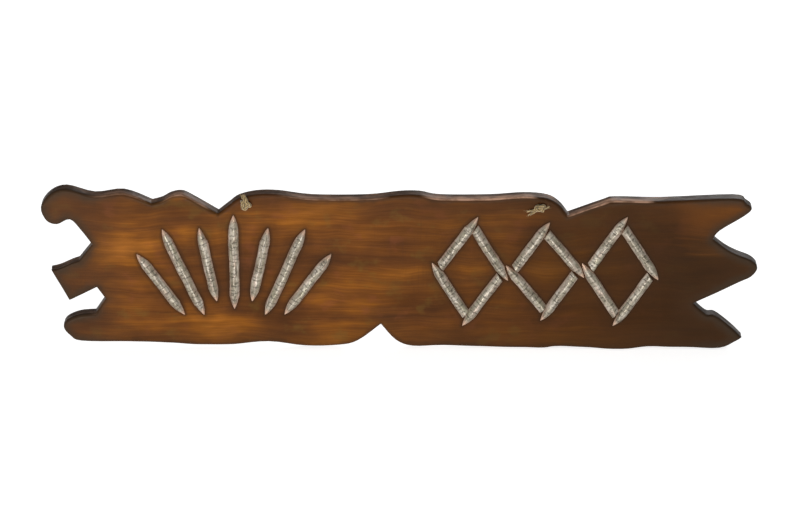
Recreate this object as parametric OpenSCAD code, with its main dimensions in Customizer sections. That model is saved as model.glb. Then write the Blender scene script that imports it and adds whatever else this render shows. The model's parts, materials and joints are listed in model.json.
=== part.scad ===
// Hanging wooden sign: a wavy plank with splintered ends, whittled half-round sticks
// fixed to its front, and a fibre cord that passes through two holes near the top edge.
// +X runs along the plank, +Z is up, and the front faces -Y.
// The origin is on the plank's back face, at the middle of its outline.

/* [Board] */
// Length of the plank from tip to tip
board_l = 1000; // [800:10:1250]
// Height of the plank over its highest and lowest lobes
board_h = 240; // [195:1:290]
// Thickness of the plank
board_t = 24; // [16:1:36]

/* [Sticks] */
// Width of a whittled half-round stick, twice its height
stick_w = 14; // [8:0.1:14.5]
// Length over which a stick tapers to its point
tip_l = 24; // [14:1:30]

/* [Sunburst] */
// Number of rays
ray_count = 7; // [3:2:7]
// Angle between neighbouring rays
ray_step = 12; // [8:1:13]
// Length of the middle ray and of every second ray on from it
long_ray = 140; // [100:2:160]
// Length of the rays in between
short_ray = 112; // [80:2:130]
// Radius of the arc through the middles of the rays
ray_arc_r = 175; // [150:5:210]

/* [Diamonds] */
// Number of diamonds in the row
diamond_count = 3; // [1:1:3]
// Distance between the middles of neighbouring diamonds
diamond_pitch = 105; // [103:1:120]
// Half width of a diamond, to the centre lines of its sticks
diamond_half_w = 46; // [36:1:46]
// Half height of the outer diamonds
tall_half_h = 70; // [54:1:76]
// Half height of the diamonds in between
low_half_h = 62; // [48:1:68]
// Length of stick that runs past a corner
overshoot = 14; // [8:1:16]

/* [Hanging cord] */
// Diameter of the twisted fibre cord
cord_d = 5; // [3:0.5:6]
// Diameter of the two holes for the cord
hole_d = 7; // [6:0.5:10]
// Distance between the two holes
hole_pitch = 410; // [340:5:450]
// Depth of the hole centres below the top edge
hole_drop = 13; // [9:1:24]
// Diameter of a stopper knot
knot_d = 14; // [11:0.5:18]
// Thickness of a stopper knot
knot_t = 10; // [7:0.5:10]
// Distance from the plank's back face to the middle of the hanging loop
loop_y = 10; // [8:0.5:16]

/* [Hidden] */
$fn = 48;
eps = 1;

// The outline is drawn on a grid of this length and height, then scaled to the plank
grid_l = 1000;
grid_h = 236;
scale_x = board_l / grid_l;
scale_z = board_h / grid_h;
steps_per_span = 4;

// Each run is a smooth edge from one sharp corner to the next, clockwise from the
// notch in the left end
OUTLINE_RUNS = [
    [[-430, 37], [-445, 57], [-460, 73], [-478, 66], [-493, 72], [-500, 91], [-487, 110],
     [-464, 118], [-425, 108], [-384, 112], [-345, 97]],
    [[-345, 97], [-331, 101], [-318, 108], [-303, 110], [-288, 103], [-253, 82]],
    [[-253, 82], [-238, 94], [-224, 104], [-199, 110], [-169, 110], [-122, 104], [-46, 104],
     [0, 109], [28, 109], [56, 104], [125, 104], [172, 107], [205, 104], [222, 94], [234, 79]],
    [[234, 79], [283, 97], [300, 101], [364, 100], [464, 104], [482, 97], [490, 88],
     [477, 76], [446, 57], [437, 45]],
    [[437, 45], [455, 31], [472, 22], [491, 14], [500, 3], [492, -10], [477, -18],
     [457, -28], [412, -50]],
    [[412, -50], [430, -66], [443, -68], [465, -85], [481, -101]],
    [[481, -101], [472, -107], [450, -116], [400, -115], [347, -115], [312, -118],
     [260, -116], [218, -114], [195, -116], [119, -114], [60, -112], [18, -113],
     [-6, -104], [-27, -81]],
    [[-27, -81], [-59, -105], [-86, -112], [-134, -113], [-185, -107], [-235, -111],
     [-280, -111], [-318, -109], [-385, -107], [-448, -106], [-464, -98], [-473, -86],
     [-468, -75], [-450, -67], [-428, -65]],
    [[-428, -65], [-413, -43]],
    [[-413, -43], [-425, -26]],
    [[-425, -26], [-464, -46]],
    [[-464, -46], [-488, -1]],
    [[-488, -1], [-476, 2], [-458, 10], [-449, 13]],
    [[-449, 13], [-430, 37]],
];

// Places on the plank, given on the outline's grid
top_edge_z = 106.2 * scale_z;
hole_mid_x = -10 * scale_x;
burst_x = -232 * scale_x;
burst_mid_z = 12 * scale_z;
diamond_mid_x = 203 * scale_x;
diamond_mid_z = -2 * scale_z;

hole_z = top_edge_z - hole_drop;
left_hole_x = hole_mid_x - hole_pitch / 2;
right_hole_x = hole_mid_x + hole_pitch / 2;

// A small tilt for each diamond, as laid by hand
DIAMOND_TILT = [2, -2, 1];
// Space left between a cut end and the stick that it meets
butt_gap = 0.2;

// The corners of a diamond, and the name of the side that starts at each
CORNERS = [[0, 1], [1, 0], [0, -1], [-1, 0]];
SIDES = ["upper_right", "lower_right", "lower_left", "upper_left"];

// Space between the end of the cord in a hole and the loop that swings past it
swing_gap = 0.5;
// How far the middle of each knot sits above its hole
left_knot_rise = 4;
right_knot_rise = -4;
// The direction and length of each loose end, from the middle of its knot
LEFT_TAILS = [[125, 14]];
RIGHT_TAILS = [[205, 24], [20, 13]];

// The loop's route: x from the middle between the holes, z from the hole centres
LOOP_ROUTE = [
    [-205, 0], [-190, -18], [-170, -40], [-145, -65], [-115, -89], [-80, -110], [-40, -125],
    [0, -130], [40, -125], [80, -110], [115, -89], [145, -65], [170, -40], [190, -18], [205, 0],
];
loop_sides = 8;
steps_per_stretch = 3;

// The smooth curve through a list of points: the point at share t of the span after point i
function held(points, i) = points[max(0, min(len(points) - 1, i))];
function on_span(points, i, t) =
    let (a = held(points, i - 1), b = points[i], c = points[i + 1], d = held(points, i + 2))
    0.5 * (2 * b + t * (c - a) + t * t * (2 * a - 5 * b + 4 * c - d)
        + t * t * t * (3 * b - a - 3 * c + d));
function smooth(points, steps) =
    [for (i = [0 : len(points) - 2]) for (s = [0 : steps - 1]) on_span(points, i, s / steps)];

// Two points make a straight edge, which needs no steps
function edge(run) = len(run) == 2 ? [run[0]] : smooth(run, steps_per_span);

module board_outline() {
    polygon([for (run = OUTLINE_RUNS) for (p = edge(run)) [p[0] * scale_x, p[1] * scale_z]]);
}

module board() {
    color("saddlebrown")
    difference() {
        rotate([90, 0, 0])
            linear_extrude(board_t)
                board_outline();
        for (x = [left_hole_x, right_hole_x])
            translate([x, eps, hole_z])
                rotate([90, 0, 0])
                    cylinder(d = hole_d, h = board_t + 2 * eps);
    }
}

// Half of a whittled spindle, lying along X on the front face with its middle at x = 0
module spindle(length) {
    shoulder = length / 2 - tip_l;
    knee = length / 2 - 0.4 * tip_l;
    translate([0, -board_t, 0])
    intersection() {
        rotate([0, 90, 0])
            rotate_extrude()
                polygon([
                    [0, -length / 2], [0.28 * stick_w, -knee], [0.46 * stick_w, -shoulder],
                    [stick_w / 2, 0],
                    [0.46 * stick_w, shoulder], [0.28 * stick_w, knee], [0, length / 2],
                ]);
        translate([-length / 2 - eps, -stick_w, -stick_w])
            cube([length + 2 * eps, stick_w, 2 * stick_w]);
    }
}

// One ray of the sunburst; the rays spread upward from a point below them
module ray(number) {
    from_middle = number - (ray_count + 1) / 2;
    length = abs(from_middle) % 2 == 0 ? long_ray : short_ray;
    color("silver")
    translate([burst_x, 0, burst_mid_z - ray_arc_r])
        rotate([0, from_middle * ray_step, 0])
            translate([0, 0, ray_arc_r])
                rotate([0, -90, 0])
                    spindle(length);
}

// One side of a diamond: it starts with a cut end beside the side before it, and its
// point runs past the next corner
module diamond_stick(number, side) {
    half_h = number == 1 || number == diamond_count ? tall_half_h : low_half_h;
    size = [diamond_half_w, half_h];
    function corner(i) =
        let (c = CORNERS[(i + 4) % 4])
        [c[0] * size[0], c[1] * size[1]];
    function bearing(from, to) = atan2(to[1] - from[1], to[0] - from[0]);
    before = corner(side - 1);
    start = corner(side);
    end = corner(side + 1);
    span = norm(end - start);
    // The spindle starts a whole point early, so that the cut leaves a blunt end
    length = span + overshoot + tip_l;
    middle = (span + overshoot - tip_l) / 2;
    x = diamond_mid_x + (number - (diamond_count + 1) / 2) * diamond_pitch;
    color("silver")
    translate([x, 0, diamond_mid_z])
    rotate([0, DIAMOND_TILT[number - 1], 0])
    difference() {
        translate([start[0], 0, start[1]])
            rotate([0, -bearing(start, end), 0])
                translate([middle, 0, 0])
                    spindle(length);
        // Everything on the far side of the neighbour's inner edge
        translate([start[0], 0, start[1]])
            rotate([0, -bearing(before, start), 0])
                translate([-length, -board_t - stick_w, -stick_w / 2 - butt_gap])
                    cube([2 * length, stick_w + eps, 2 * length]);
    }
}

// The tube of the hanging loop, swept along its route in the plane y = loop_y
module rope_loop() {
    route = concat(smooth(LOOP_ROUTE, steps_per_stretch), [LOOP_ROUTE[len(LOOP_ROUTE) - 1]]);
    rings = len(route);
    function heading(i) =
        let (step = held(route, i + 1) - held(route, i - 1))
        step / norm(step);
    points = [
        for (i = [0 : rings - 1]) for (s = [0 : loop_sides - 1])
            let (
                turn = 360 * s / loop_sides,
                out = cord_d / 2 * cos(turn),
                along = heading(i)
            )
            [route[i][0] - out * along[1], cord_d / 2 * sin(turn), route[i][1] + out * along[0]]
    ];
    function at(i, s) = i * loop_sides + s % loop_sides;
    walls = [
        for (i = [0 : rings - 2]) for (s = [0 : loop_sides - 1])
            [at(i, s), at(i, s + 1), at(i + 1, s + 1), at(i + 1, s)]
    ];
    first_end = [for (s = [loop_sides - 1 : -1 : 0]) at(0, s)];
    last_end = [for (s = [0 : loop_sides - 1]) at(rings - 1, s)];
    color("darkkhaki")
    translate([hole_mid_x, loop_y, hole_z])
        polyhedron(points, concat(walls, [first_end, last_end]));
}

// The stretch of cord inside one hole, from its knot to just short of the loop
module rope_end(x) {
    color("darkkhaki")
    translate([x, loop_y - cord_d / 2 - swing_gap, hole_z])
        rotate([90, 0, 0])
            cylinder(d = cord_d, h = board_t + loop_y - cord_d / 2 - swing_gap);
}

// A stopper knot that lies on the front face, with its loose ends
module knot(x, rise, tails) {
    ring_r = (knot_d - knot_t) / 2;
    color("darkkhaki")
    translate([x, -board_t, hole_z + rise]) {
        rotate([90, 0, 0])
            rotate_extrude() {
                square([ring_r, knot_t]);
                intersection() {
                    translate([ring_r, knot_t / 2])
                        circle(d = knot_t);
                    square([knot_d, knot_t]);
                }
            }
        for (tail = tails)
            translate([0, -cord_d / 2 - (knot_t - cord_d) / 4, 0])
                rotate([0, 90 - tail[0], 0])
                    cylinder(d = cord_d, h = tail[1]);
    }
}

board();
for (i = [1 : ray_count])
    ray(i);
for (d = [1 : diamond_count])
    for (s = [0 : len(SIDES) - 1])
        diamond_stick(d, s);
rope_loop();
rope_end(left_hole_x);  // rope_end_left
rope_end(right_hole_x);  // rope_end_right
knot(left_hole_x, left_knot_rise, LEFT_TAILS);  // knot_left
knot(right_hole_x, right_knot_rise, RIGHT_TAILS);  // knot_right
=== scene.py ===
import json
import math
from itertools import product

import bmesh
import bpy
import numpy as np
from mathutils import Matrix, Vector
from mathutils.geometry import delaunay_2d_cdt


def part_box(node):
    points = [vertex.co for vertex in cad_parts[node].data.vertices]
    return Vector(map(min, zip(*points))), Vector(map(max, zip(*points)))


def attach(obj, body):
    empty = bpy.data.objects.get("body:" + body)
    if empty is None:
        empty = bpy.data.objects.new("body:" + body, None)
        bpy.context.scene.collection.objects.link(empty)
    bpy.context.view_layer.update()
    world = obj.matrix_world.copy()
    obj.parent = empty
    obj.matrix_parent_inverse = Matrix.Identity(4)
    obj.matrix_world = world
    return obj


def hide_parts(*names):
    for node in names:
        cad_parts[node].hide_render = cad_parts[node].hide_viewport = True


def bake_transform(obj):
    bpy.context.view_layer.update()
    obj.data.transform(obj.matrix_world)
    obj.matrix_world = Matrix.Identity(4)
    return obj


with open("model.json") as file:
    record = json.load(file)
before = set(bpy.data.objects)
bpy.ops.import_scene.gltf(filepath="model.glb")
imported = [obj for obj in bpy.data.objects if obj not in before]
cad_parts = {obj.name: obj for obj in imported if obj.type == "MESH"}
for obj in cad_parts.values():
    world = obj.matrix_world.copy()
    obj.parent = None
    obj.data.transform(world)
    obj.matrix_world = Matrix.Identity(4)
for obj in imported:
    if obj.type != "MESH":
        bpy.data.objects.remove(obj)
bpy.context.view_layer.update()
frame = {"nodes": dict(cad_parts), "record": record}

# Everything is in metres, in the row frame: +X along the plank, +Z up, front facing -Y.
MM = 0.001
BOARD_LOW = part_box("board")[0]
FRONT_Y = BOARD_LOW.y        # the plank's front face, and its back face is at 0


# ---------------------------------------- camera

ELEVATION = math.radians(21)
CAMERA_DISTANCE = 6.0
VIEW_WIDTH = 1.1189          # width of the view at the object
TARGET_RISE = 0.0145         # how far the middle of the view is above the plank's middle


def make_camera():
    data = bpy.data.cameras.new("camera")
    data.sensor_width = 36
    data.lens = data.sensor_width * CAMERA_DISTANCE / VIEW_WIDTH
    data.dof.use_dof = False
    camera = bpy.data.objects.new("camera", data)
    bpy.context.collection.objects.link(camera)
    view_up = Vector((0, math.sin(ELEVATION), math.cos(ELEVATION)))
    towards_camera = Vector((0, -math.cos(ELEVATION), math.sin(ELEVATION)))
    target = Vector((0, FRONT_Y, 0)) + TARGET_RISE * view_up
    camera.location = target + CAMERA_DISTANCE * towards_camera
    camera.rotation_euler = (math.pi / 2 - ELEVATION, 0, 0)
    bpy.context.scene.camera = camera


make_camera()


# ---------------------------------------- noise and small helpers

# Factors that stir a cell's place into a number that looks random
STIR_X, STIR_Y, STIR_Z, STIR_SEED, STIR_AGAIN = 73856093, 19349663, 83492791, 6271, 1274126177


def lattice_noise(points, seed):
    """Smooth noise from -1 to 1 at each row of an n by 3 array; one cell is one unit wide."""
    cell = np.floor(points).astype(np.int64)
    part = points - cell
    part = part * part * (3 - 2 * part)
    total = np.zeros(len(points))
    for corner in product((0, 1), repeat=3):
        x, y, z = (cell + np.array(corner)).T
        mixed = (x * STIR_X) ^ (y * STIR_Y) ^ (z * STIR_Z) ^ (seed * STIR_SEED)
        mixed = (mixed ^ (mixed >> 13)) * STIR_AGAIN & 0x7FFFFFFF
        mixed = (mixed ^ (mixed >> 16)) & 0xFFFF
        weight = np.prod(np.where(np.array(corner) == 1, part, 1 - part), axis=1)
        total += weight * (mixed / 32767.5 - 1)
    return total


def smoothstep(low, high, value):
    """From 0 at low to 1 at high, smoothly, and held beyond them."""
    share = np.clip((value - low) / (high - low), 0, 1)
    return share * share * (3 - 2 * share)


def smooth_path(points, steps):
    """The curve that passes smoothly through the points, with this many steps a span."""
    points = np.asarray(points, float)
    held = np.vstack([points[0], points, points[-1]])
    made = []
    for i in range(len(points) - 1):
        a, b, c, d = held[i:i + 4]
        for t in np.arange(steps) / steps:
            made.append(0.5 * (2 * b + t * (c - a) + t * t * (2 * a - 5 * b + 4 * c - d)
                               + t ** 3 * (3 * b - a - 3 * c + d)))
    made.append(points[-1])
    return np.array(made)


def ring_faces(rings, around):
    """The faces between neighbouring rings that each have this many points."""
    faces = []
    for i in range(rings - 1):
        for j in range(around):
            k = (j + 1) % around
            faces.append((i * around + j, i * around + k, (i + 1) * around + k, (i + 1) * around + j))
    return faces


def new_piece(name, points, faces, material, body):
    """A mesh object that rides on a body and takes its finish from a slot."""
    mesh = bpy.data.meshes.new(name)
    mesh.from_pydata([tuple(p) for p in points], [], [tuple(int(i) for i in f) for f in faces])
    mesh.validate()
    mesh.shade_smooth()
    mesh.materials.append(material)
    piece = bpy.data.objects.new(name, mesh)
    bpy.context.collection.objects.link(piece)
    if body:
        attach(piece, body)
    return piece


def outward_faces(piece):
    """Turn every face of a closed mesh outward."""
    shape = bmesh.new()
    shape.from_mesh(piece.data)
    bmesh.ops.recalc_face_normals(shape, faces=shape.faces)
    shape.to_mesh(piece.data)
    shape.free()


def set_attribute(piece, name, values):
    """One number for each vertex, which the piece's material reads by name."""
    layer = piece.data.attributes.new(name, "FLOAT", "POINT")
    layer.data.foreach_set("value", np.asarray(values, np.float32))


def set_grain(piece, values):
    """Each vertex's own place along, around and which length of wood or fibre it belongs to."""
    layer = piece.data.attributes.new("grain", "FLOAT_VECTOR", "POINT")
    layer.data.foreach_set("vector", np.asarray(values, np.float32).ravel())


# ---------------------------------------- material building

class Material:
    """A principled material with short calls for the nodes that feed it."""

    def __init__(self, name):
        self.material = bpy.data.materials.new(name)
        self.material.use_nodes = True
        self.nodes = self.material.node_tree.nodes
        self.links = self.material.node_tree.links
        self.shader = self.nodes["Principled BSDF"]
        coordinates = self.add("ShaderNodeTexCoord")
        self.place, self.facing = coordinates.outputs["Object"], coordinates.outputs["Normal"]

    def add(self, kind, **settings):
        node = self.nodes.new(kind)
        for key, value in settings.items():
            setattr(node, key, value)
        return node

    def feed(self, socket, value):
        if isinstance(value, bpy.types.NodeSocket):
            self.links.new(value, socket)
        else:
            socket.default_value = value

    def stretch(self, vector, scale, shift=(0, 0, 0)):
        node = self.add("ShaderNodeMapping")
        self.feed(node.inputs["Vector"], vector)
        node.inputs["Scale"].default_value = scale
        node.inputs["Location"].default_value = shift
        return node.outputs["Vector"]

    def noise(self, vector, scale=1.0, detail=4.0, roughness=0.55):
        node = self.add("ShaderNodeTexNoise")
        self.feed(node.inputs["Vector"], vector)
        node.inputs["Scale"].default_value = scale
        node.inputs["Detail"].default_value = detail
        node.inputs["Roughness"].default_value = roughness
        return node.outputs["Fac"]

    def cell_edges(self, vector):
        """The distance to the nearest edge between cells of irregular shape."""
        node = self.add("ShaderNodeTexVoronoi", feature="DISTANCE_TO_EDGE")
        self.feed(node.inputs["Vector"], vector)
        node.inputs["Scale"].default_value = 1.0
        return node.outputs["Distance"]

    def math(self, operation, a, b=0.0, clamp=False):
        node = self.add("ShaderNodeMath", operation=operation, use_clamp=clamp)
        self.feed(node.inputs[0], a)
        self.feed(node.inputs[1], b)
        return node.outputs[0]

    def times(self, a, b):
        return self.math("MULTIPLY", a, b)

    def plus(self, a, b):
        return self.math("ADD", a, b)

    def swing(self, noise, width):
        """Noise from 0 to 1, as an offset to both sides of 0 with this full width."""
        return self.times(self.math("SUBTRACT", noise, 0.5), width)

    def fit(self, value, low, high, to_low=0.0, to_high=1.0):
        """value from low to high becomes to_low to to_high, smoothly, and is held beyond them."""
        node = self.add("ShaderNodeMapRange", interpolation_type="SMOOTHSTEP")
        self.feed(node.inputs["Value"], value)
        node.inputs["From Min"].default_value = low
        node.inputs["From Max"].default_value = high
        node.inputs["To Min"].default_value = to_low
        node.inputs["To Max"].default_value = to_high
        return node.outputs["Result"]

    def ramp(self, value, *stops):
        """A colour for each value, from stops of a position and an rrggbb code."""
        node = self.add("ShaderNodeValToRGB")
        self.feed(node.inputs["Fac"], value)
        elements = node.color_ramp.elements
        for element, (position, code) in zip(elements, (stops[0], stops[-1])):
            element.position = position
            element.color = (*srgb(code), 1)
        for position, code in stops[1:-1]:
            elements.new(position).color = (*srgb(code), 1)
        return node.outputs["Color"]

    def mix(self, share, under, code, blend="MIX"):
        """The colour under, with this share of an rrggbb code or of another colour over it."""
        node = self.add("ShaderNodeMix", data_type="RGBA", blend_type=blend)
        self.feed(node.inputs["Factor"], share)
        self.feed(node.inputs["A"], under)
        self.feed(node.inputs["B"], (*srgb(code), 1) if isinstance(code, str) else code)
        return node.outputs["Result"]

    def attribute(self, name, output="Fac"):
        return self.add("ShaderNodeAttribute", attribute_name=name).outputs[output]

    def part(self, vector, axis):
        node = self.add("ShaderNodeSeparateXYZ")
        self.feed(node.inputs[0], vector)
        return node.outputs[axis]

    def bump(self, height, depth, strength, under=None):
        node = self.add("ShaderNodeBump")
        node.inputs["Strength"].default_value = strength
        node.inputs["Distance"].default_value = depth
        self.feed(node.inputs["Height"], height)
        if under is not None:
            self.feed(node.inputs["Normal"], under)
        return node.outputs["Normal"]

    def shade(self, **values):
        for key, value in values.items():
            name = key.replace("_", " ").title().replace("Ior", "IOR")
            self.feed(self.shader.inputs[name], value)


def srgb(code):
    """A colour written as rrggbb, as linear numbers."""
    shares = [int(code[i:i + 2], 16) / 255 for i in (0, 2, 4)]
    return tuple(c / 12.92 if c <= 0.04045 else ((c + 0.055) / 1.055) ** 2.4 for c in shares)


# ---------------------------------------- the plank's stain and varnish

# Along the top edge: from, to and how strongly the sawn rim's front has a painted highlight there
ARRIS_HIGHLIGHT_STRETCHES = (
    (-0.425, -0.355, 0.25), (-0.325, -0.27, 0.5), (-0.16, -0.02, 0.4), (0.04, 0.186, 0.95),
    (0.238, 0.35, 0.8),
)


def grain_noises(m, x, y, z):
    """Noise of three widths that runs along the plank: wide blotches, streaks and fine lines."""
    # Slow wander, so that no streak runs dead straight
    wander = m.swing(m.noise(m.place, 7, 2), 0.03)
    bent = m.add("ShaderNodeCombineXYZ")
    m.feed(bent.inputs[0], x)
    m.feed(bent.inputs[1], y)
    m.feed(bent.inputs[2], m.plus(z, wander))
    bent = bent.outputs[0]
    blotch = m.noise(m.stretch(bent, (7, 7, 17)), 1, 3, 0.55)
    streak = m.noise(m.stretch(bent, (4, 20, 70)), 1, 4, 0.55)
    fine = m.noise(m.stretch(bent, (14, 60, 420)), 1, 4, 0.6)
    return blotch, streak, fine


def stain(m, blotch, streak, fine):
    """The stain as it is in the middle of the plank."""
    tone = m.plus(m.times(blotch, 0.70), m.times(streak, 0.30))
    colour = m.ramp(tone, (0.35, "43250e"), (0.45, "553011"), (0.53, "653a12"), (0.60, "794712"),
                    (0.70, "93591d"))
    # Fine grain lines, and small reddish and greenish clouds
    colour = m.mix(m.fit(fine, 0.42, 0.62, 0.22, 0.0), colour, "4a2c16", "MULTIPLY")
    cloud = m.noise(m.stretch(m.place, (26, 26, 34), (4, 0, 2)), 1, 3, 0.6)
    colour = m.mix(m.fit(cloud, 0.56, 0.72, 0.0, 0.35), colour, "6b3a22")
    colour = m.mix(m.fit(cloud, 0.44, 0.30, 0.0, 0.30), colour, "5e4a1e")
    # Brushed cross-grain marks in patches
    brush = m.noise(m.stretch(m.place, (330, 40, 16)), 1, 3, 0.6)
    band = m.fit(m.noise(m.stretch(m.place, (9, 1, 6), (3.2, 0, 1.4)), 1, 1), 0.5, 0.68)
    return m.mix(m.times(m.fit(brush, 0.52, 0.7), m.times(band, 0.35)), colour, "432713")


def heavier_stain(m, colour, x, z, blotch, streak):
    """Darker towards the right and at the left end, but lighter in the upper right corner."""
    drift = m.plus(x, m.swing(blotch, 0.25))
    colour = m.mix(m.fit(drift, -0.06, 0.08, 0.0, 0.34), colour, "351e08")
    colour = m.mix(m.fit(drift, 0.10, 0.28, 0.0, 0.60), colour, "2b1806")
    low = m.fit(m.plus(z, m.swing(streak, 0.10)), 0.075, 0.02)
    colour = m.mix(m.times(m.fit(drift, 0.24, 0.44, 0.0, 0.66), low), colour, "1f140a")
    high = m.math("SUBTRACT", m.fit(drift, 0.30, 0.42), low, clamp=True)
    colour = m.mix(m.times(high, 0.26), colour, "7a4515")
    return m.mix(m.fit(x, -0.34, -0.49, 0.0, 0.50), colour, "3f291c")


def scorched_edge(m, colour, x, ragged):
    """Darker along the outline, and most of all at the two ends."""
    edge = m.plus(m.attribute("edge"), ragged)
    colour = m.mix(m.fit(edge, 0.042, 0.003, 0.0, 0.38), colour, "3a2412")
    colour = m.mix(m.fit(edge, 0.008, 0.002, 0.0, 0.50), colour, "2e2014")
    ends = m.fit(m.math("ABSOLUTE", x), 0.38, 0.45, 0.0, 0.6)
    return m.mix(m.times(ends, m.fit(edge, 0.016, 0.004)), colour, "30271e")


def sawn_rim(m, colour, x, y):
    """The rim took less stain and more varnish; its paler, greyer colour is partly that and partly
    painted reflection of the bright room above, and its front arris has a painted highlight in places.
    """
    up = m.part(m.facing, "Z")
    rim_mottle = m.noise(m.stretch(m.place, (40, 90, 40)), 1, 4, 0.65)
    rim = m.ramp(rim_mottle, (0.36, "453328"), (0.50, "6a5242"), (0.66, "a17b62"))
    patch = m.noise(m.stretch(m.place, (13, 13, 13), (7, 0, 1)), 1, 3)
    rim = m.mix(m.times(m.fit(patch, 0.42, 0.62), 0.6), rim, "34261d")
    # Painted shade on the steeper stretches, which face less of the bright room above, and more stain
    # at the right end
    rim = m.mix(m.fit(up, 0.86, 0.55, 0.0, 0.6), rim, "2c271b")
    rim = m.mix(m.fit(x, 0.34, 0.42, 0.0, 0.75), rim, "211913")
    colour = m.mix(m.fit(m.attribute("wall"), 0.10, 0.60, 0.0, 0.9), colour, rim)
    # A painted highlight reaches from the middle of the rim over its front arris, where it faces up
    forward = m.plus(y, m.swing(rim_mottle, 0.014))
    worn = m.times(m.fit(forward, -0.009, -0.014), m.fit(up, 0.3, 0.7))
    worn = m.times(worn, m.fit(m.attribute("edge"), 0.0028, 0.0008))
    worn = m.times(worn, m.fit(rim_mottle, 0.40, 0.58, 0.45, 1.0))
    for begin, end, strength in ARRIS_HIGHLIGHT_STRETCHES:
        stretch = m.times(m.fit(x, begin - 0.015, begin + 0.015),
                          m.fit(x, end + 0.008, end - 0.008, 0.0, strength))
        colour = m.mix(m.times(worn, stretch), colour, "c69c82")
    return colour


def wash_and_shade_round_sticks(m, colour, ragged):
    """A dark ring round the sticks, partly a dark wash left there and partly painted shade: wide and
    faint, then narrow and strong.
    """
    stick = m.plus(m.attribute("stick"), m.times(ragged, 0.3))
    colour = m.mix(m.fit(stick, 0.0220, 0.0020, 0.0, 0.32), colour, "301b0c")
    return m.mix(m.fit(stick, 0.0060, 0.0004, 0.0, 0.62), colour, "2a1a0d")


def stained_wood():
    m = Material("stained_wood")
    x, y, z = (m.part(m.place, axis) for axis in "XYZ")
    blotch, streak, fine = grain_noises(m, x, y, z)
    ragged = m.swing(m.noise(m.place, 60, 3), 0.010)
    colour = stain(m, blotch, streak, fine)
    colour = heavier_stain(m, colour, x, z, blotch, streak)
    colour = scorched_edge(m, colour, x, ragged)
    colour = sawn_rim(m, colour, x, y)
    # Painted shade and a dark wash round the sticks
    colour = wash_and_shade_round_sticks(m, colour, ragged)
    relief = m.plus(m.times(streak, 0.5), m.times(fine, 0.35))
    normal = m.bump(relief, depth=0.0010, strength=0.4)
    normal = m.bump(m.noise(m.place, 260, 3), depth=0.0003, strength=0.35, under=normal)
    m.shade(
        base_color=colour,
        roughness=m.fit(m.noise(m.place, 22, 3), 0.3, 0.7, 0.34, 0.5),
        specular_ior_level=0.065,
        specular_tint=(1.0, 0.86, 0.74, 1),
        normal=normal,
    )
    return m.material


# ---------------------------------------- the sticks' and the cord's finish

def whittled_wood():
    m = Material("whittled_wood")
    grain = m.attribute("grain", "Vector")
    height = m.attribute("height")
    weather = m.noise(m.stretch(grain, (60, 300, 1)), 1, 5, 0.65)
    patch = m.noise(m.stretch(grain, (45, 90, 1)), 1, 3, 0.6)
    tone = m.plus(m.times(weather, 0.5), m.times(patch, 0.5))
    colour = m.ramp(tone, (0.32, "6b6353"), (0.44, "908775"), (0.55, "aba293"), (0.68, "cfc7bb"))
    # Greenish and warm casts in the paint
    cast = m.noise(m.stretch(grain, (38, 150, 1), (5, 2, 0)), 1, 2)
    colour = m.mix(m.fit(cast, 0.55, 0.68, 0.0, 0.4), colour, "a3a085")
    colour = m.mix(m.fit(cast, 0.45, 0.32, 0.0, 0.4), colour, "b59a8c")
    # Hairline crackle, longer across the stick than along it, and the cuts that are real
    warp = m.add("ShaderNodeVectorMath", operation="ADD")
    m.feed(warp.inputs[0], m.stretch(grain, (190, 130, 1)))
    m.feed(warp.inputs[1], m.noise(m.stretch(grain, (300, 300, 1)), 1, 3))
    hair = m.fit(m.cell_edges(warp.outputs[0]), 0.085, 0.015, 0.0, 0.6)
    hair = m.times(hair, m.fit(m.noise(m.stretch(grain, (80, 110, 1)), 1, 2), 0.4, 0.6))
    colour = m.mix(hair, colour, "3c362b")
    colour = m.mix(m.attribute("crack"), colour, "332d24")
    # Bare wood at the points and along the feet, then darker in the seam with the plank
    colour = m.mix(m.attribute("tip"), colour, "c8a68e")
    level = m.plus(height, m.swing(cast, 0.5))
    colour = m.mix(m.fit(level, 0.40, 0.20, 0.0, 0.55), colour, "c3a38f")
    colour = m.mix(m.fit(height, 0.16, 0.0, 0.0, 0.75), colour, "4a3428")
    relief = m.math("SUBTRACT", m.times(weather, 0.6), hair)
    m.shade(
        base_color=colour,
        metallic=0.45,
        roughness=m.fit(patch, 0.3, 0.7, 0.30, 0.5),
        specular_ior_level=0.5,
        normal=m.bump(relief, depth=0.0006, strength=0.6),
    )
    return m.material


def cord_fibre():
    m = Material("cord_fibre")
    lay = m.attribute("grain", "Vector")
    fibre = m.noise(m.stretch(lay, (260, 2600, 1)), 1, 4, 0.6)
    patch = m.noise(m.place, 130, 3)
    tone = m.plus(m.times(fibre, 0.6), m.times(patch, 0.4))
    colour = m.ramp(tone, (0.34, "57482b"), (0.47, "857149"), (0.58, "a89169"), (0.72, "cdb991"))
    # Darker in the grooves between the strands
    colour = m.mix(m.fit(m.attribute("height"), 0.92, 0.7, 0.0, 0.75), colour, "3f2f17")
    m.shade(
        base_color=colour,
        roughness=0.85,
        specular_ior_level=0.25,
        sheen_weight=0.3,
        normal=m.bump(fibre, depth=0.0004, strength=0.8),
    )
    return m.material


WOOD = stained_wood()
SILVERED = whittled_wood()
FIBRE = cord_fibre()


# ---------------------------------------- sticks, as the frame lays them

RAYS = sorted(n for n in frame["nodes"] if n.startswith("ray_"))
DIAMOND_STICKS = sorted(n for n in frame["nodes"] if n.startswith("diamond_"))
TIP_LENGTH = 0.024
# How the sides of a tip close in: the first power bends them, the second rounds the point
TIP_BEND, TIP_ROUNDING = 1.7, 0.85


def plan_points(node):
    """The corners of a stick's footprint on the plank's face, as x and z."""
    points = np.array([v.co for v in frame["nodes"][node].data.vertices])
    on_face = points[np.abs(points[:, 1] - FRONT_Y) < 0.01 * MM]
    return np.unique(np.round(on_face[:, [0, 2]], 6), axis=0)


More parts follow.
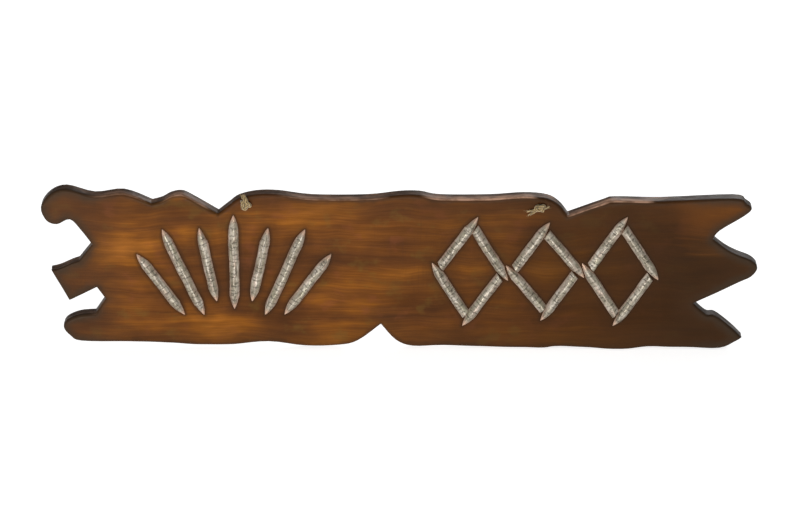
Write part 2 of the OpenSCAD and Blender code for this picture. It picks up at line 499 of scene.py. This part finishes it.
class Stick:
    """Where one CAD stick lies on the plank: its point, direction, length, width and cut end."""

    def __init__(self, node):
        self.node = node
        corners = plan_points(node)
        middle = corners.mean(axis=0)
        corners = corners[np.argsort(np.arctan2(*(corners - middle).T))]
        before, after = np.roll(corners, 1, axis=0), np.roll(corners, -1, axis=0)
        a, b = before - corners, after - corners
        # The stick's point is the sharpest corner
        sharpness = np.einsum("ij,ij->i", a, b) / np.linalg.norm(a, axis=1) / np.linalg.norm(b, axis=1)
        tip = np.argmax(sharpness)
        self.point = corners[tip]
        self.along = self.point - (before[tip] + after[tip]) / 2
        self.along /= np.linalg.norm(self.along)
        self.across = np.array([-self.along[1], self.along[0]])
        down = (corners - self.point) @ self.along
        self.length = -down.min()
        self.start = self.point - self.length * self.along
        self.half_width = np.max(np.abs((corners - self.point) @ self.across))
        self.two_points = node in RAYS
        # The two corners furthest from the point, as distances along and across
        furthest = corners[np.argsort(down)[:2]] - self.start
        self.cut_corners = [(corner @ self.along, corner @ self.across) for corner in furthest]
        self.seed = 100 + (RAYS + DIAMOND_STICKS).index(node)

    def cut_at(self, across):
        """How far along the stick its first section starts, at each place across it."""
        if self.two_points:
            return np.zeros_like(across)
        (a_along, a_across), (b_along, b_across) = self.cut_corners
        return a_along + (across - a_across) * (b_along - a_along) / (b_across - a_across)

    def from_point(self, down):
        """How far each distance from the start is from the stick's nearest point."""
        left = self.length - down
        return np.minimum(left, down) if self.two_points else left

    def fullness(self, down):
        """The share of the full width at each distance from the start."""
        closed = np.clip(1 - self.from_point(down) / TIP_LENGTH, 0, 1) ** TIP_BEND
        return (1 - closed) ** TIP_ROUNDING

    def distance(self, places):
        """How far each place on the plank is from the stick's side; less than 0 under it."""
        off = places - self.start
        down = np.clip(off @ self.along, 0, self.length)
        near = off - down[:, None] * self.along
        return np.linalg.norm(near, axis=1) - self.half_width * self.fullness(down)

    def place(self, down, across, height):
        """Points in the row frame, from distances along, across and out of the plank's face."""
        flat = self.start + np.multiply.outer(down, self.along) + np.multiply.outer(across, self.across)
        return np.stack([flat[..., 0], FRONT_Y - height, flat[..., 1]], axis=-1)


STICKS = {node: Stick(node) for node in RAYS + DIAMOND_STICKS}


# ---------------------------------------- the plank

OUTLINE_STEP = 3 * MM
HOLE_STEP = 1 * MM
GRID_STEP = 3 * MM
GRID_JITTER = 0.25           # share of a grid step that a grid point may be off by
# How far in from the outline, and from a hole, the face has extra loops of points
RINGS = (0.35 * MM, 1.0 * MM, 2.0 * MM, 3.2 * MM, 5.0 * MM)
HOLE_RING = 1.0 * MM
WALL_ROWS = 7
MERGE_DISTANCE = 1e-7
SLIVER_AREA = 0.001 * MM ** 2

ARRIS_FRONT = 4.0 * MM
ARRIS_BACK = 2.0 * MM
ARRIS_HOLE = 0.8 * MM
ARRIS_CHANGE = 0.45          # share by which the front arris grows and shrinks along the outline
WIDE_WAVE, NARROW_WAVE = 0.30, 0.14          # height of the planed face's waves, in mm
WIDE_CHEW, NARROW_CHEW = 0.45, 0.25          # height of the rim's unevenness, in mm
BACK_WAVE = 0.4              # share of the front's waves that the back has
BACK_INSET = 0.1 * MM
FAR_FROM_STICKS = 0.05       # where a stick's wash and painted shade can't reach


def face_loops():
    """The closed outlines of the plank's front face, longest first, as x and z."""
    mesh = frame["nodes"]["board"].data
    key = [tuple(np.round(v.co, 6)) for v in mesh.vertices]
    seen = {}
    for face in mesh.polygons:
        if face.normal.y < -0.9:
            for a, b in face.edge_keys:
                pair = tuple(sorted((key[a], key[b])))
                seen[pair] = seen.get(pair, 0) + 1
    # The edges that only one of the face's triangles has are its outlines
    following = {}
    for (a, b), count in seen.items():
        if count == 1:
            following.setdefault(a, []).append(b)
            following.setdefault(b, []).append(a)
    loops = []
    while following:
        loop, here = [], next(iter(following))
        while here is not None:
            loop.append(here)
            ways = following.pop(here)
            here = next((p for p in ways if p in following), None)
        loops.append(np.array(loop)[:, [0, 2]])
    return sorted(loops, key=len, reverse=True)


def next_points(loop):
    """For each point of a closed loop, the one after it."""
    return np.roll(loop, -1, axis=0)


def resampled(loop, step):
    """The closed loop with more points, none further apart than step."""
    made = []
    for a, b in zip(loop, next_points(loop)):
        count = max(1, math.ceil(np.linalg.norm(b - a) / step))
        made += [a + (b - a) * i / count for i in range(count)]
    return np.array(made)


def loop_distance(places, loops):
    """How far each place is from the nearest of the loops' edges."""
    nearest = np.full(len(places), np.inf)
    for loop in loops:
        for a, b in zip(loop, next_points(loop)):
            edge = b - a
            share = np.clip(((places - a) @ edge) / (edge @ edge), 0, 1)
            gap = places - a - share[:, None] * edge
            nearest = np.minimum(nearest, np.einsum("ij,ij->i", gap, gap))
    return np.sqrt(nearest)


def inside(places, loop):
    """Which places are within the closed loop."""
    crossed = np.zeros(len(places), bool)
    for a, b in zip(loop, next_points(loop)):
        spans = (a[1] > places[:, 1]) != (b[1] > places[:, 1])
        if spans.any():
            x = a[0] + (places[:, 1] - a[1]) * (b[0] - a[0]) / (b[1] - a[1] + 1e-15)
            crossed ^= spans & (places[:, 0] < x)
    return crossed


def outward(loop):
    """The direction out of the loop at each of its points."""
    step = next_points(loop) - np.roll(loop, 1, axis=0)
    step /= np.linalg.norm(step, axis=1)[:, None]
    normal = np.stack([step[:, 1], -step[:, 0]], axis=1)
    probe = loop + 0.05 * MM * normal
    return normal * np.where(inside(probe, loop), -1, 1)[:, None]


def turns_left(loop):
    """Whether the closed loop goes round anticlockwise, seen from the front."""
    after = next_points(loop)
    return np.sum(loop[:, 0] * after[:, 1] - after[:, 0] * loop[:, 1]) > 0


def grid_points(outline, holes):
    """A slightly uneven grid over the face, clear of its rings and holes."""
    low, high = outline.min(axis=0), outline.max(axis=0)
    grid = np.stack(np.meshgrid(
        np.arange(low[0], high[0], GRID_STEP),
        np.arange(low[1], high[1], GRID_STEP),
    ), axis=-1).reshape(-1, 2)
    spots = np.column_stack([grid * 900, np.zeros(len(grid))])
    shift = np.stack([lattice_noise(spots, seed) for seed in (1, 2)], axis=1)
    grid = grid + GRID_JITTER * GRID_STEP * shift
    grid = grid[inside(grid, outline)]
    grid = grid[loop_distance(grid, [outline]) > RINGS[-1] + 0.6 * GRID_STEP]
    grid = grid[loop_distance(grid, holes) > 2 * HOLE_RING]
    for hole in holes:
        grid = grid[~inside(grid, hole)]
    return grid


def face_mesh(outline, holes):
    """The plank's face in the flat: its places, its triangles and, for each loop, its places."""
    normal = outward(outline)
    rings = []
    for depth in RINGS:
        ring = outline - depth * normal
        ring = ring[inside(ring, outline)]
        # Without the points that a sharp corner brings too near the outline
        rings.append(ring[loop_distance(ring, [outline]) > 0.93 * depth])
    rings += [hole + HOLE_RING * outward(hole) for hole in holes]
    border = [outline, *holes]
    sources, first = [], 0
    for loop in border:
        sources.append(range(first, first + len(loop)))
        first += len(loop)
    edges = [edge for loop in sources for edge in zip(loop, [*loop[1:], loop[0]])]
    flat = np.vstack([*border, *rings, grid_points(outline, holes)])
    made = delaunay_2d_cdt([Vector(p) for p in flat], edges, [], 0, MERGE_DISTANCE)
    places = np.array([(v.x, v.y) for v in made[0]])
    faces = np.array([f for f in made[2] if len(f) == 3])
    middle = places[faces].mean(axis=1)
    keep = inside(middle, outline)
    for hole in holes:
        keep &= ~inside(middle, hole)
    # Points along a straight edge can leave slivers with no area, which are not part of the face
    a, b, c = (places[faces[:, corner]] for corner in range(3))
    area = 0.5 * ((b - a)[:, 0] * (c - a)[:, 1] - (b - a)[:, 1] * (c - a)[:, 0])
    faces = faces[keep & (area > SLIVER_AREA)]
    place_of = {source: place for place, merged in enumerate(made[3]) for source in merged}
    return places, faces, [np.array([place_of[source] for source in loop]) for loop in sources]


def arris(distance, radius):
    """How far a rounded edge has fallen below the face, this far in from the outline."""
    left = np.clip(radius - distance, 0, radius)
    return radius - np.sqrt(np.maximum(radius ** 2 - left ** 2, 0))


def wall_points(flat, front, back, chewed):
    """The points between a loop of the front face and the same loop of the back, in rows."""
    away = outward(flat)
    points = []
    for row in range(1, WALL_ROWS):
        share = row / WALL_ROWS
        spot = np.column_stack([flat[:, 0], front * (1 - share) + back * share, flat[:, 1]])
        if chewed:
            push = (WIDE_CHEW * lattice_noise(spot * (70, 160, 70), 21)
                    + NARROW_CHEW * lattice_noise(spot * (220, 260, 220), 22))
            push = push * MM * math.sin(math.pi * share)
            spot[:, [0, 2]] += away * push[:, None]
        points.append(spot)
    return np.vstack(points)


def make_board():
    outline, *holes = face_loops()
    outline = resampled(outline, OUTLINE_STEP)
    holes = [resampled(hole, HOLE_STEP) for hole in holes]
    places, triangles, border = face_mesh(outline, holes)
    count = len(places)

    # Every place has a point on the planed, wavy front and one on the back
    rim = loop_distance(places, [outline])
    solid = np.column_stack([places[:, 0], np.zeros(count), places[:, 1]])
    wave = (WIDE_WAVE * lattice_noise(solid * (9, 1, 38), 11)
            + NARROW_WAVE * lattice_noise(solid * (26, 1, 110), 12))
    wave = (wave + (WIDE_WAVE + NARROW_WAVE)) * MM
    round_front = ARRIS_FRONT * (1 + ARRIS_CHANGE * lattice_noise(solid * 34, 13))
    near_hole = arris(loop_distance(places, holes), ARRIS_HOLE)
    front = FRONT_Y + wave + arris(rim, round_front) + near_hole
    back = -BACK_INSET - arris(rim, ARRIS_BACK) - BACK_WAVE * wave
    points = [np.column_stack([places[:, 0], y, places[:, 1]]) for y in (front, back)]
    faces = [*triangles, *(triangles[:, ::-1] + count)]

    # The rim and the holes' walls
    used = 2 * count
    for index in border:
        is_rim = index is border[0]
        points.append(wall_points(places[index], front[index], back[index], chewed=is_rim))
        new = np.arange(used, used + len(points[-1])).reshape(-1, len(index))
        used += len(points[-1])
        rows = np.vstack([index, new, index + count])
        forward = turns_left(places[index]) == is_rim
        for upper, lower in zip(rows, rows[1:]):
            sides = np.stack([upper, lower, next_points(lower), next_points(upper)], axis=1)
            faces += [*(sides if forward else sides[:, ::-1])]

    piece = new_piece("plank", np.vstack(points), faces, WOOD, "sign")
    on_walls = used - 2 * count
    nearest_stick = np.min([stick.distance(places) for stick in STICKS.values()], axis=0)
    nearest_stick = np.clip(nearest_stick, -0.01, FAR_FROM_STICKS)
    set_attribute(piece, "edge", np.concatenate([rim, rim, np.zeros(on_walls)]))
    set_attribute(piece, "stick", np.append(nearest_stick, np.full(used - count, FAR_FROM_STICKS)))
    wall = np.zeros(used)
    wall[2 * count:2 * count + len(points[2])] = 1
    set_attribute(piece, "wall", wall)
    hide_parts("board")


make_board()


# ---------------------------------------- the whittled sticks

SECTION_STEP = 0.75 * MM
DOME_POINTS = 23
# The dome from one foot to the other: its angle, and its place across from 1 to -1
DOME_TURN = np.linspace(0, math.pi, DOME_POINTS)
DOME_SIDE = np.cos(DOME_TURN)
SEAT_DEPTH = 0.9 * MM        # how far a stick's foot reaches into the stained face
POINT_HEIGHT = 0.25 * MM
BLUNT = 0.03                 # share of the full width that a point's first section keeps

# Lengths of stick over which facets, the bow, the ridge and one shaving change
FACET_LENGTH, BOW_LENGTH, RIDGE_LENGTH, SHAVING_LENGTH = 17 * MM, 45 * MM, 14 * MM, 9 * MM
BOW = 0.5 * MM
ROUND_SHARE, GABLE_SHARE = 0.22, 0.78        # of the section's height
CRACK_WIDTH, CRACK_WIGGLE = 0.5 * MM, 0.35 * MM
CRACK_PULL = 0.35            # how far a crack draws the side in, as a share of its depth
CHIP_CHANCE, CHIP_DEPTH, CHIP_LENGTH = 0.35, 0.45 * MM, 1.3 * MM
CHIP_WIDTH = 0.28            # share of the stick's half width
SPLIT_WIDTH, SPLIT_DEPTH, SPLIT_TAPER = 0.42 * MM, 0.45 * MM, 4 * MM


def stick_cracks(stick, rng):
    """Cross cracks as (place along, middle across, reach across, slant, depth)."""
    cracks, down = [], rng.uniform(5, 10) * MM
    while down < stick.length - 8 * MM:
        side = rng.uniform(-0.7, 0.7)
        cracks.append((down, side, rng.uniform(0.5, 1.3), rng.uniform(-0.9, 0.9) * MM,
                       rng.uniform(0.35, 0.8) * MM))
        down += rng.uniform(4, 11) * MM
    return cracks


def stick_splits(stick, rng):
    """Splits along the grain as (from, to, place across)."""
    splits = []
    for _ in range(int(stick.length / (32 * MM))):
        begin = rng.uniform(0.06, 0.7) * stick.length
        splits.append((begin, begin + rng.uniform(14, 36) * MM, rng.uniform(-0.75, 0.75)))
    return splits


def noise_along(stick, places, seed, shift=0.0):
    """Noise that changes only along a stick, at these places, and differs between sticks."""
    rows = np.column_stack([places.ravel(), np.zeros(places.size), np.full(places.size, stick.seed)])
    return lattice_noise(rows + shift, seed).reshape(places.shape)


def whittled(stick, down, rng):
    """Each dome point's place across, height, depth in a crack, and facet."""
    side = DOME_SIDE
    full = np.maximum(stick.fullness(down), BLUNT)
    half = stick.half_width * full
    spots = np.column_stack([down.ravel() / FACET_LENGTH, np.tile(side, len(down)) * 1.3,
                             np.full(down.size, stick.seed * 3.7)])
    facet = lattice_noise(spots, stick.seed).reshape(down.shape)
    fine = lattice_noise(spots * (5.5, 2.6, 1), stick.seed + 50).reshape(down.shape)

    # A step where one shaving ended short of the point, on one side
    step_side = rng.choice((-1, 1))
    step_from = stick.length - rng.uniform(15, 22) * MM
    stepped = smoothstep(step_from - 0.4 * MM, step_from + 0.4 * MM, down)
    stepped *= smoothstep(0.3, 0.6, side * step_side) * rng.uniform(0.05, 0.2)
    width = half * (1 + 0.07 * facet + 0.03 * fine) * (1 - stepped)
    across = width * side + BOW * noise_along(stick, down / BOW_LENGTH, 7) * full

    # A gable whose ridge wanders from side to side, and jumps where a shaving ended
    spot = down / RIDGE_LENGTH
    shaving = np.floor(down / SHAVING_LENGTH + 0.4 * noise_along(stick, spot, 9))
    jump = noise_along(stick, shaving * 1.7, 10)
    ridge = 0.18 * noise_along(stick, spot, 8) + 0.20 * jump
    lean = np.clip(np.abs(side - ridge * (1 - np.abs(side))), 0, 1)
    gable = np.minimum(1, 1.12 * (1 - lean)) ** 0.8
    rise = ROUND_SHARE * np.sin(DOME_TURN) + GABLE_SHARE * gable
    height = half * rise * (1 + 0.10 * facet + 0.07 * fine)

    dark = np.zeros(down.shape)
    for at, middle, reach, slant, depth in stick_cracks(stick, rng):
        off = down - at - slant * side - CRACK_WIGGLE * np.sin(side * 9 + at * 900)
        here = smoothstep(reach, reach * 0.7, np.abs(side - middle))
        groove = here * np.exp(-(off / CRACK_WIDTH) ** 2)
        height -= depth * groove * full
        across -= CRACK_PULL * depth * groove * side
        dark = np.maximum(dark, groove)
        if rng.random() < CHIP_CHANCE:
            chip = np.exp(-((off / CHIP_LENGTH) ** 2 + ((side - middle) / CHIP_WIDTH) ** 2))
            height -= CHIP_DEPTH * chip * full
            dark = np.maximum(dark, 0.45 * chip)
    for begin, end, place in stick_splits(stick, rng):
        wander = 0.16 * noise_along(stick, spot, 11, place * 9)
        here = smoothstep(begin, begin + SPLIT_TAPER, down) * smoothstep(end, end - SPLIT_TAPER, down)
        groove = here * np.exp(-((side - place - wander) * half / SPLIT_WIDTH) ** 2)
        height -= SPLIT_DEPTH * groove * full
        dark = np.maximum(dark, 0.85 * groove)
    return across, np.maximum(height, 0), np.clip(dark, 0, 1), facet


def with_feet(dome):
    """Values round each section: the dome's, then those of its two ends again for the feet."""
    return np.concatenate([dome, dome[:, [-1, 0]]], axis=1)


def make_stick(stick):
    rng = np.random.default_rng(stick.seed)
    count = int(stick.length / SECTION_STEP)
    first = stick.cut_at(stick.half_width * DOME_SIDE)
    share = np.linspace(0, 1, count, endpoint=False)
    down = first + share[:, None] * (stick.length - first)
    across, height, dark, facet = whittled(stick, down, rng)

    # Sections of a dome and two feet, then a point on top and one below where the stick ends
    feet = np.full((count, 2), -SEAT_DEPTH)
    sections = stick.place(with_feet(down), with_feet(across), np.hstack([height, feet]))
    end = stick.place(np.full(2, stick.length), np.zeros(2), np.array([POINT_HEIGHT, -SEAT_DEPTH]))
    around = DOME_POINTS + 2
    faces = ring_faces(count, around)
    faces.append(range(around)[::-1])
    last, peak, sole = (count - 1) * around, count * around, count * around + 1
    dome_end = last + DOME_POINTS - 1
    for j in range(last, dome_end):
        faces.append((j, j + 1, peak))
    faces.append((dome_end, dome_end + 1, sole, peak))
    faces.append((dome_end + 1, dome_end + 2, sole))
    faces.append((dome_end + 2, last, peak, sole))
    piece = new_piece("stick_" + stick.node, np.vstack([sections.reshape(-1, 3), end]), faces,
                      SILVERED, "sign")
    outward_faces(piece)

    arc_step = stick.half_width * math.pi / (DOME_POINTS - 1)
    arc = np.append(np.cumsum(np.full(DOME_POINTS, arc_step)), [0, 0])
    grain = np.stack(np.broadcast_arrays(with_feet(down), arc, float(stick.seed)), axis=-1)
    set_grain(piece, np.vstack([grain.reshape(-1, 3), grain[-1, DOME_POINTS // 2], grain[-1, 0]]))
    pale = smoothstep(13 * MM, 2 * MM, stick.from_point(down) + 2.5 * MM * facet)
    level = height / stick.half_width / np.maximum(stick.fullness(down), 0.15)
    set_attribute(piece, "crack", np.append(with_feet(dark), [0, 0]))
    set_attribute(piece, "tip", np.append(with_feet(pale), [1, 1]))
    set_attribute(piece, "height", np.append(with_feet(level), [0.5, 0]))
    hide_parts(stick.node)


for laid in STICKS.values():
    make_stick(laid)


# ---------------------------------------- the cord

CORD_DIAMETER = 5.0 * MM
STRANDS = 3
# A strand's radius, its middle's distance from the cord's, and the grooves' floor, as shares of
# the cord's radius
STRAND_RADIUS, STRAND_OFFSET, GROOVE_FLOOR = 0.464, 0.536, 0.66
TWIST_PITCH = 15 * MM        # length of cord in which a strand goes once round
RING_STEP = 1.2 * MM
CORD_SIDES = 24
UNEVENNESS = 0.05            # share by which a cord's radius changes

# A loose strand and a hair, each as radius, length, spread and sides
LOOSE_STRAND = (0.95 * MM, 3.2 * MM, 0.24, 7)
HAIR = (0.16 * MM, 3.2 * MM * 1.3, 0.48, 5)
HAIRS = 6
FRAY_ROOT = 2.5 * MM         # how far a loose strand reaches back into the cord
LOOSE_HEIGHT = 0.97          # above where the cord's grooves are darkened

KNOT_CORD_RADIUS = 2.4 * MM
KNOT_SIZE = 2.05 * MM
KNOT_GAP = 0.35              # angle left open at each of the knot's two ends
KNOT_OUT, KNOT_WEAVE = 4.3 * MM, 2.0 * MM    # how far out of the face, and to and fro there
BACK_IN_HOLE, OUT_OF_HOLE = 4 * MM, 1.5 * MM
TUCK_SHARE, TUCK_OUT = 0.4, 2.4 * MM         # where its last end is tucked behind it

# The loop's route: x from the middle between the holes, y from the plank's back face, z from
# the line through the holes
LOOP_ROUTE = (
    (-0.205, -0.003, 0.000), (-0.205, 0.000, 0.000), (-0.204, 0.005, -0.001),
    (-0.202, 0.0085, -0.004), (-0.199, 0.010, -0.0075), (-0.190, 0.010, -0.018),
    (-0.170, 0.010, -0.040), (-0.145, 0.010, -0.065), (-0.115, 0.010, -0.089),
    (-0.080, 0.010, -0.110), (-0.040, 0.010, -0.125), (0.000, 0.010, -0.130),
    (0.040, 0.010, -0.125), (0.080, 0.010, -0.110), (0.115, 0.010, -0.089),
    (0.145, 0.010, -0.065), (0.170, 0.010, -0.040), (0.190, 0.010, -0.018),
    (0.199, 0.010, -0.0075), (0.202, 0.0085, -0.004), (0.204, 0.005, -0.001),
    (0.205, 0.000, 0.000), (0.205, -0.003, 0.000),
)
HINGE_X, HINGE_Y, HINGE_Z = frame["record"]["behaviour"]["joints"][0]["pos_m"]
HALF_PITCH = 0.205           # from the middle between the holes to either of them
LEFT_EXIT = (HINGE_X - HALF_PITCH, 0.0, HINGE_Z)
RIGHT_EXIT = (HINGE_X + HALF_PITCH, 0.0, HINGE_Z)


def evenly(path, step):
    """Points along the path a step apart, and how far along each one is."""
    gaps = np.linalg.norm(np.diff(path, axis=0), axis=1)
    far = np.concatenate([[0], np.cumsum(gaps)])
    at = np.linspace(0, far[-1], max(3, int(far[-1] / step) + 1))
    return np.column_stack([np.interp(at, far, path[:, i]) for i in range(3)]), at


def carried_frames(path):
    """Two directions across the path at each point, turned as little as possible on the way."""
    along = np.gradient(path, axis=0)
    along /= np.linalg.norm(along, axis=1)[:, None]
    helper = (0, 0, 1) if abs(along[0][2]) < 0.9 else (1, 0, 0)
    first = np.cross(along[0], helper)
    sides = []
    for direction in along:
        first = first - direction * (first @ direction)
        first /= np.linalg.norm(first)
        sides.append(first)
    sides = np.array(sides)
    return sides, np.cross(along, sides)


def strand_profile(turn):
    """Share of the full radius at each angle round a three-strand cord."""
    span = 2 * math.pi / STRANDS
    off = (turn + span / 2) % span - span / 2
    root = np.maximum(STRAND_RADIUS ** 2 - (STRAND_OFFSET * np.sin(off)) ** 2, 0)
    return np.maximum(STRAND_OFFSET * np.cos(off) + np.sqrt(root), GROOVE_FLOOR)


def tube(path, radius, sides=CORD_SIDES, twisted=True, phase=0.0, seed=0):
    """Points, faces, grain and height of a closed tube: twisted cord or one loose strand."""
    step = RING_STEP if twisted else max(0.7 * MM, radius * 0.6)
    points, at = evenly(path, step)
    count = len(at)
    across, over = carried_frames(points)
    turn = np.linspace(0, 2 * math.pi, sides, endpoint=False)
    wound = 2 * math.pi * at / TWIST_PITCH + phase
    from_strand = turn[None, :] - wound[:, None]
    share = strand_profile(from_strand) if twisted else np.ones((count, sides))
    spots = np.column_stack([np.repeat(at, sides) * 260, np.tile(turn * 1.6, count),
                             np.full(count * sides, seed)])
    share = share * (1 + UNEVENNESS * lattice_noise(spots, seed + 31).reshape(share.shape))
    size = radius * share
    if not twisted:
        taper = np.interp(at, [0, at[-1] * 0.6, at[-1]], [1, 0.85, 0.35])
        size = size * taper[:, None]
    ring = (points[:, None, :] + size[..., None] * (
        np.cos(turn)[None, :, None] * across[:, None, :]
        + np.sin(turn)[None, :, None] * over[:, None, :]))
    faces = ring_faces(count, sides)
    last, first_cap, last_cap = (count - 1) * sides, count * sides, count * sides + 1
    for j in range(sides):
        k = (j + 1) % sides
        faces.append((k, j, first_cap))
        faces.append((last + j, last + k, last_cap))
    grain = np.stack(np.broadcast_arrays(at[:, None], from_strand * radius, float(seed)), axis=-1)
    grain = grain.reshape(-1, 3)
    height = np.append(share if twisted else share * LOOSE_HEIGHT, [0.8, 0.8])
    return (np.vstack([ring.reshape(-1, 3), points[:1], points[-1:]]), faces,
            np.vstack([grain, grain[:1], grain[-1:]]), height)


def cord_piece(name, tubes, body):
    """One piece of cord made of several closed tubes."""
    all_faces, used = [], 0
    for points, faces, _, _ in tubes:
        all_faces += [[i + used for i in face] for face in faces]
        used += len(points)
    all_points, _, grains, heights = zip(*tubes)
    piece = new_piece(name, np.vstack(all_points), all_faces, FIBRE, body)
    outward_faces(piece)
    set_grain(piece, np.vstack(grains))
    set_attribute(piece, "height", np.concatenate(heights))
    return piece


def frayed_end(start, heading, rng):
    """Loose strands and a few hairs where a cord's end has come untwisted."""
    heading = heading / np.linalg.norm(heading)
    made = []
    for radius, length, spread, sides in [LOOSE_STRAND] * STRANDS + [HAIR] * HAIRS:
        way = heading + spread * rng.normal(size=3) * (1, 0.45, 1)
        curl = spread * rng.normal(size=3) * (1, 0.3, 1)
        reach = length * rng.uniform(0.7, 1.1)
        route = [start - FRAY_ROOT * heading, start + 0.35 * reach * way,
                 start + reach * (way + 0.35 * curl)]
        seed = int(rng.integers(99))
        made.append(tube(smooth_path(route, 5), radius, sides, twisted=False, seed=seed))
    return made


def overhand(stretch, lean):
    """An open overhand knot seen from the front: right, up and out, with its gap at the bottom."""
    t = np.linspace(math.pi + KNOT_GAP, 3 * math.pi - KNOT_GAP, 46)
    right = KNOT_SIZE * (np.sin(t) + 2 * np.sin(2 * t)) * stretch[0]
    up = KNOT_SIZE * (np.cos(t) - 2 * np.cos(2 * t)) * stretch[1]
    out = KNOT_OUT - KNOT_WEAVE * np.sin(3 * t)
    turned_right = right * math.cos(lean) - up * math.sin(lean)
    turned_up = right * math.sin(lean) + up * math.cos(lean)
    return np.column_stack([turned_right, turned_up, out])


def on_face(middle, local):
    """Row-frame points from right, up and out of the plank's face."""
    return np.column_stack([middle[0] + local[:, 0], FRONT_Y - local[:, 2], middle[1] + local[:, 1]])


def make_knot(node, hole, rise, stretch, lean, tails, seed):
    """A stopper knot on the front; tails are routes from its middle, as right, up and out in mm."""
    rng = np.random.default_rng(seed)
    middle = (hole[0], hole[2] + rise)
    knot = overhand(stretch, lean)
    route = np.vstack([
        (0, -rise, -BACK_IN_HOLE), (0, -rise, OUT_OF_HOLE), knot,
        (TUCK_SHARE * knot[-1, 0], TUCK_SHARE * knot[-1, 1], TUCK_OUT),
    ])
    tubes = [tube(smooth_path(on_face(middle, route), 3), KNOT_CORD_RADIUS, seed=seed)]
    for number, (tail, radius) in enumerate(tails):
        line = smooth_path(on_face(middle, np.array(tail) * MM), 6)
        tubes.append(tube(line, radius, phase=number, seed=seed + number))
        tubes += frayed_end(line[-1], line[-1] - line[-3], rng)
    piece = cord_piece("cord_" + node, tubes, "sign")
    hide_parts(node)
    return piece


def make_cord():
    knots = [
        make_knot("knot_left", LEFT_EXIT, 5 * MM, (1.0, 1.3), math.radians(205),
                  [([(1, 3, 5), (-1, 7, 5.5), (-4, 11.5, 5)], 2.2 * MM),
                   ([(3, 3, 4.5), (1.5, 7.5, 5), (-0.5, 11, 4.5)], 1.9 * MM)], seed=3),
        make_knot("knot_right", RIGHT_EXIT, -1 * MM, (1.05, 0.8), math.radians(15),
                  [([(-4, -1, 5), (-9, -3, 4), (-15, -4.5, 3)], 1.8 * MM),
                   ([(-4, -2, 5.5), (-9, -6, 4), (-14, -9.5, 3)], 1.8 * MM),
                   ([(3, 0, 5), (6.5, 0, 4.5), (9.5, 0.5, 4)], 1.8 * MM)], seed=8),
    ]
    for side, (x, _, z) in (("left", LEFT_EXIT), ("right", RIGHT_EXIT)):
        line = np.array([(x, FRONT_Y + 3 * MM, z), (x, -0.012, z), (x, -0.0031, z)])
        piece = cord_piece(f"cord_in_{side}_hole", [tube(line, CORD_DIAMETER / 2)], "sign")
        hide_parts(f"rope_end_{side}")
    route = smooth_path(np.array(LOOP_ROUTE) + (HINGE_X, 0, HINGE_Z), 6)
    loop = cord_piece("cord_loop", [tube(route, CORD_DIAMETER / 2)], None)
    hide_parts("rope_loop")
    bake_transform(loop)


make_cord()


# ---------------------------------------- stage, lights

FLOOR_SIZE = 40
FLOOR_GAP = 0.2 * MM


def make_stage():
    bpy.ops.mesh.primitive_plane_add(size=FLOOR_SIZE, location=(0, 0, BOARD_LOW.z - FLOOR_GAP))
    floor = bpy.context.object
    floor.name = "floor"
    m = Material("pale_floor")
    m.shade(base_color=(0.8, 0.8, 0.8, 1), roughness=0.9, specular_ior_level=0.0,
            emission_color=(1, 1, 1, 1), emission_strength=0.78)
    floor.data.materials.append(m.material)


def area_light(name, place, size, power):
    """A rectangular light that faces the middle of the object."""
    data = bpy.data.lights.new(name, "AREA")
    data.shape = "RECTANGLE"
    data.size, data.size_y = size
    data.energy = power
    light = bpy.data.objects.new(name, data)
    bpy.context.collection.objects.link(light)
    light.location = place
    light.rotation_euler = (-Vector(place)).to_track_quat("-Z", "Y").to_euler()


def make_world():
    world = bpy.data.worlds.new("studio")
    bpy.context.scene.world = world
    world.use_nodes = True
    background = world.node_tree.nodes["Background"]
    background.inputs["Color"].default_value = (1, 1, 1, 1)
    background.inputs["Strength"].default_value = 0.24


make_stage()
make_world()
area_light("low_front", place=(-0.5, -2.4, 0.10), size=(2.6, 0.4), power=60)
area_light("high_front", place=(-0.9, -2.2, 1.8), size=(1.6, 1.0), power=5)
area_light("behind", place=(1.2, 2.4, 1.4), size=(2.0, 1.0), power=36)
bpy.context.scene.view_settings.view_transform = "Standard"
